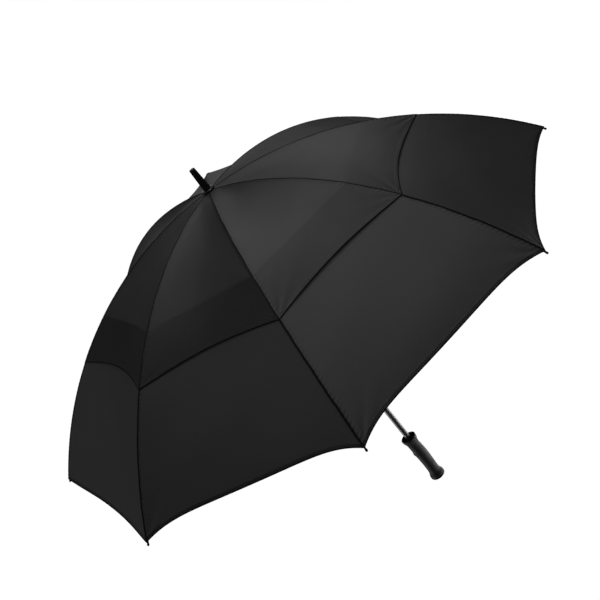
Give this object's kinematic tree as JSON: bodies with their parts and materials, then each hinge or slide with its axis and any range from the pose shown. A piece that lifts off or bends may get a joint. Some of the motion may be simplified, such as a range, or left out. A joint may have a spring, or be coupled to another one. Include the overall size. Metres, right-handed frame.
{
  "type": "golf umbrella",
  "caption": "Large vented umbrella with a double canopy on folding steel and glass fibre ribs, a straight shaft, a sliding runner, and a rubber handle with a tip cup.",
  "frame": {"origin": "centre of the flat butt end of the handle", "axes": "+Z along the shaft towards the ferrule, +X along one rib"},
  "size_m": [1.3766, 1.3766, 1.006],
  "materials": {
    "upper_cloth": "satin",
    "lower_cloth": "satin",
    "rib_steel": "satin",
    "glass_fibre": "satin",
    "tip_plastic": "satin",
    "bright_steel": "satin",
    "shaft_graphite": "satin",
    "ferrule_plastic": "satin",
    "cap_gloss": "gloss",
    "cup_gloss": "gloss",
    "grip_rubber": "matte",
    "nylon": "satin"
  },
  "bodies": {
    "root": {"shaft": "shaft_graphite", "ferrule": "ferrule_plastic", "top_cap": "cap_gloss", "crown_notch": "nylon", "crown_wire": "bright_steel", "grip": "grip_rubber", "tip_cup": "cup_gloss", "butt_cap": "nylon"},
    "rib_1": {"rib_inner_1": "rib_steel", "canopy_upper_1": "upper_cloth"},
    "rib_end_1": {"rib_outer_1": "glass_fibre", "rib_tip_1": "tip_plastic", "canopy_lower_1": "lower_cloth"},
    "strut_1": {"stretcher_1": "rib_steel"},
    "rib_2": {"rib_inner_2": "rib_steel", "canopy_upper_2": "upper_cloth"},
    "rib_end_2": {"rib_outer_2": "glass_fibre", "rib_tip_2": "tip_plastic", "canopy_lower_2": "lower_cloth"},
    "strut_2": {"stretcher_2": "rib_steel"},
    "rib_3": {"rib_inner_3": "rib_steel", "canopy_upper_3": "upper_cloth"},
    "rib_end_3": {"rib_outer_3": "glass_fibre", "rib_tip_3": "tip_plastic", "canopy_lower_3": "lower_cloth"},
    "strut_3": {"stretcher_3": "rib_steel"},
    "rib_4": {"rib_inner_4": "rib_steel", "canopy_upper_4": "upper_cloth"},
    "rib_end_4": {"rib_outer_4": "glass_fibre", "rib_tip_4": "tip_plastic", "canopy_lower_4": "lower_cloth"},
    "strut_4": {"stretcher_4": "rib_steel"},
    "rib_5": {"rib_inner_5": "rib_steel", "canopy_upper_5": "upper_cloth"},
    "rib_end_5": {"rib_outer_5": "glass_fibre", "rib_tip_5": "tip_plastic", "canopy_lower_5": "lower_cloth"},
    "strut_5": {"stretcher_5": "rib_steel"},
    "rib_6": {"rib_inner_6": "rib_steel", "canopy_upper_6": "upper_cloth"},
    "rib_end_6": {"rib_outer_6": "glass_fibre", "rib_tip_6": "tip_plastic", "canopy_lower_6": "lower_cloth"},
    "strut_6": {"stretcher_6": "rib_steel"},
    "rib_7": {"rib_inner_7": "rib_steel", "canopy_upper_7": "upper_cloth"},
    "rib_end_7": {"rib_outer_7": "glass_fibre", "rib_tip_7": "tip_plastic", "canopy_lower_7": "lower_cloth"},
    "strut_7": {"stretcher_7": "rib_steel"},
    "rib_8": {"rib_inner_8": "rib_steel", "canopy_upper_8": "upper_cloth"},
    "rib_end_8": {"rib_outer_8": "glass_fibre", "rib_tip_8": "tip_plastic", "canopy_lower_8": "lower_cloth"},
    "strut_8": {"stretcher_8": "rib_steel"},
    "runner": {"runner": "nylon", "runner_wire": "bright_steel"},
    "top_catch": {"top_catch": "bright_steel"},
    "bottom_catch": {"bottom_catch": "bright_steel"}
  },
  "joints": [
    {"name": "rib_1_fold", "type": "hinge", "parent": "root", "child": "rib_1", "pos_m": [0.012, 0, 0.9398], "axis": [0, 1, 0], "range_deg": [0, 72.5], "deforming": ["canopy_upper_1", "canopy_lower_1", "top_catch", "bottom_catch"]},
    {"name": "rib_1_flex", "type": "hinge", "parent": "rib_1", "child": "rib_end_1", "pos_m": [0.37468, 0, 0.84729], "axis": [0, 1, 0], "range_deg": [-20.4, 0]},
    {"name": "stretcher_1_fold", "type": "hinge", "parent": "rib_1", "child": "strut_1", "pos_m": [0.36135, 0, 0.84742], "axis": [0, 1, 0], "range_deg": [-145, 0]},
    {"name": "rib_2_fold", "type": "hinge", "parent": "root", "child": "rib_2", "pos_m": [0.00849, 0.00849, 0.9398], "axis": [-0.7071, 0.7071, 0], "range_deg": [0, 72.5], "deforming": ["canopy_upper_2", "canopy_lower_2"]},
    {"name": "rib_2_flex", "type": "hinge", "parent": "rib_2", "child": "rib_end_2", "pos_m": [0.26494, 0.26494, 0.84729], "axis": [-0.7071, 0.7071, 0], "range_deg": [-20.4, 0]},
    {"name": "stretcher_2_fold", "type": "hinge", "parent": "rib_2", "child": "strut_2", "pos_m": [0.25551, 0.25551, 0.84742], "axis": [-0.7071, 0.7071, 0], "range_deg": [-145, 0]},
    {"name": "rib_3_fold", "type": "hinge", "parent": "root", "child": "rib_3", "pos_m": [0, 0.012, 0.9398], "axis": [-1, 0, 0], "range_deg": [0, 72.5], "deforming": ["canopy_upper_3", "canopy_lower_3"]},
    {"name": "rib_3_flex", "type": "hinge", "parent": "rib_3", "child": "rib_end_3", "pos_m": [0, 0.37468, 0.84729], "axis": [-1, 0, 0], "range_deg": [-20.4, 0]},
    {"name": "stretcher_3_fold", "type": "hinge", "parent": "rib_3", "child": "strut_3", "pos_m": [0, 0.36135, 0.84742], "axis": [-1, 0, 0], "range_deg": [-145, 0]},
    {"name": "rib_4_fold", "type": "hinge", "parent": "root", "child": "rib_4", "pos_m": [-0.00849, 0.00849, 0.9398], "axis": [-0.7071, -0.7071, 0], "range_deg": [0, 72.5], "deforming": ["canopy_upper_4", "canopy_lower_4"]},
    {"name": "rib_4_flex", "type": "hinge", "parent": "rib_4", "child": "rib_end_4", "pos_m": [-0.26494, 0.26494, 0.84729], "axis": [-0.7071, -0.7071, 0], "range_deg": [-20.4, 0]},
    {"name": "stretcher_4_fold", "type": "hinge", "parent": "rib_4", "child": "strut_4", "pos_m": [-0.25551, 0.25551, 0.84742], "axis": [-0.7071, -0.7071, 0], "range_deg": [-145, 0]},
    {"name": "rib_5_fold", "type": "hinge", "parent": "root", "child": "rib_5", "pos_m": [-0.012, 0, 0.9398], "axis": [0, -1, 0], "range_deg": [0, 72.5], "deforming": ["canopy_upper_5", "canopy_lower_5"]},
    {"name": "rib_5_flex", "type": "hinge", "parent": "rib_5", "child": "rib_end_5", "pos_m": [-0.37468, 0, 0.84729], "axis": [0, -1, 0], "range_deg": [-20.4, 0]},
    {"name": "stretcher_5_fold", "type": "hinge", "parent": "rib_5", "child": "strut_5", "pos_m": [-0.36135, 0, 0.84742], "axis": [0, -1, 0], "range_deg": [-145, 0]},
    {"name": "rib_6_fold", "type": "hinge", "parent": "root", "child": "rib_6", "pos_m": [-0.00849, -0.00849, 0.9398], "axis": [0.7071, -0.7071, 0], "range_deg": [0, 72.5], "deforming": ["canopy_upper_6", "canopy_lower_6"]},
    {"name": "rib_6_flex", "type": "hinge", "parent": "rib_6", "child": "rib_end_6", "pos_m": [-0.26494, -0.26494, 0.84729], "axis": [0.7071, -0.7071, 0], "range_deg": [-20.4, 0]},
    {"name": "stretcher_6_fold", "type": "hinge", "parent": "rib_6", "child": "strut_6", "pos_m": [-0.25551, -0.25551, 0.84742], "axis": [0.7071, -0.7071, 0], "range_deg": [-145, 0]},
    {"name": "rib_7_fold", "type": "hinge", "parent": "root", "child": "rib_7", "pos_m": [0, -0.012, 0.9398], "axis": [1, 0, 0], "range_deg": [0, 72.5], "deforming": ["canopy_upper_7", "canopy_lower_7"]},
    {"name": "rib_7_flex", "type": "hinge", "parent": "rib_7", "child": "rib_end_7", "pos_m": [0, -0.37468, 0.84729], "axis": [1, 0, 0], "range_deg": [-20.4, 0]},
    {"name": "stretcher_7_fold", "type": "hinge", "parent": "rib_7", "child": "strut_7", "pos_m": [0, -0.36135, 0.84742], "axis": [1, 0, 0], "range_deg": [-145, 0]},
    {"name": "rib_8_fold", "type": "hinge", "parent": "root", "child": "rib_8", "pos_m": [0.00849, -0.00849, 0.9398], "axis": [0.7071, 0.7071, 0], "range_deg": [0, 72.5], "deforming": ["canopy_upper_8", "canopy_lower_8"]},
    {"name": "rib_8_flex", "type": "hinge", "parent": "rib_8", "child": "rib_end_8", "pos_m": [0.26494, -0.26494, 0.84729], "axis": [0.7071, 0.7071, 0], "range_deg": [-20.4, 0]},
    {"name": "stretcher_8_fold", "type": "hinge", "parent": "rib_8", "child": "strut_8", "pos_m": [0.25551, -0.25551, 0.84742], "axis": [0.7071, 0.7071, 0], "range_deg": [-145, 0]},
    {"name": "runner_level", "type": "hinge", "parent": "strut_1", "child": "runner", "pos_m": [0.012, 0, 0.75505], "axis": [0, 1, 0], "range_deg": [0, 72.5]},
    {"name": "top_catch_press", "type": "slide", "parent": "root", "child": "top_catch", "axis": [0, -1, 0], "range_m": [0, 0.003], "stiffness_N_per_m": 600},
    {"name": "bottom_catch_press", "type": "slide", "parent": "root", "child": "bottom_catch", "axis": [0, -1, 0], "range_m": [0, 0.003], "stiffness_N_per_m": 600}
  ],
  "couplings": [
    {"joint": "rib_1_flex", "follows": "rib_1_fold", "ratio": -0.28},
    {"joint": "stretcher_1_fold", "follows": "rib_1_fold", "ratio": -2},
    {"joint": "rib_2_fold", "follows": "rib_1_fold", "ratio": 1},
    {"joint": "rib_2_flex", "follows": "rib_1_fold", "ratio": -0.28},
    {"joint": "stretcher_2_fold", "follows": "rib_1_fold", "ratio": -2},
    {"joint": "rib_3_fold", "follows": "rib_1_fold", "ratio": 1},
    {"joint": "rib_3_flex", "follows": "rib_1_fold", "ratio": -0.28},
    {"joint": "stretcher_3_fold", "follows": "rib_1_fold", "ratio": -2},
    {"joint": "rib_4_fold", "follows": "rib_1_fold", "ratio": 1},
    {"joint": "rib_4_flex", "follows": "rib_1_fold", "ratio": -0.28},
    {"joint": "stretcher_4_fold", "follows": "rib_1_fold", "ratio": -2},
    {"joint": "rib_5_fold", "follows": "rib_1_fold", "ratio": 1},
    {"joint": "rib_5_flex", "follows": "rib_1_fold", "ratio": -0.28},
    {"joint": "stretcher_5_fold", "follows": "rib_1_fold", "ratio": -2},
    {"joint": "rib_6_fold", "follows": "rib_1_fold", "ratio": 1},
    {"joint": "rib_6_flex", "follows": "rib_1_fold", "ratio": -0.28},
    {"joint": "stretcher_6_fold", "follows": "rib_1_fold", "ratio": -2},
    {"joint": "rib_7_fold", "follows": "rib_1_fold", "ratio": 1},
    {"joint": "rib_7_flex", "follows": "rib_1_fold", "ratio": -0.28},
    {"joint": "stretcher_7_fold", "follows": "rib_1_fold", "ratio": -2},
    {"joint": "rib_8_fold", "follows": "rib_1_fold", "ratio": 1},
    {"joint": "rib_8_flex", "follows": "rib_1_fold", "ratio": -0.28},
    {"joint": "stretcher_8_fold", "follows": "rib_1_fold", "ratio": -2},
    {"joint": "runner_level", "follows": "rib_1_fold", "ratio": 1}
  ]
}
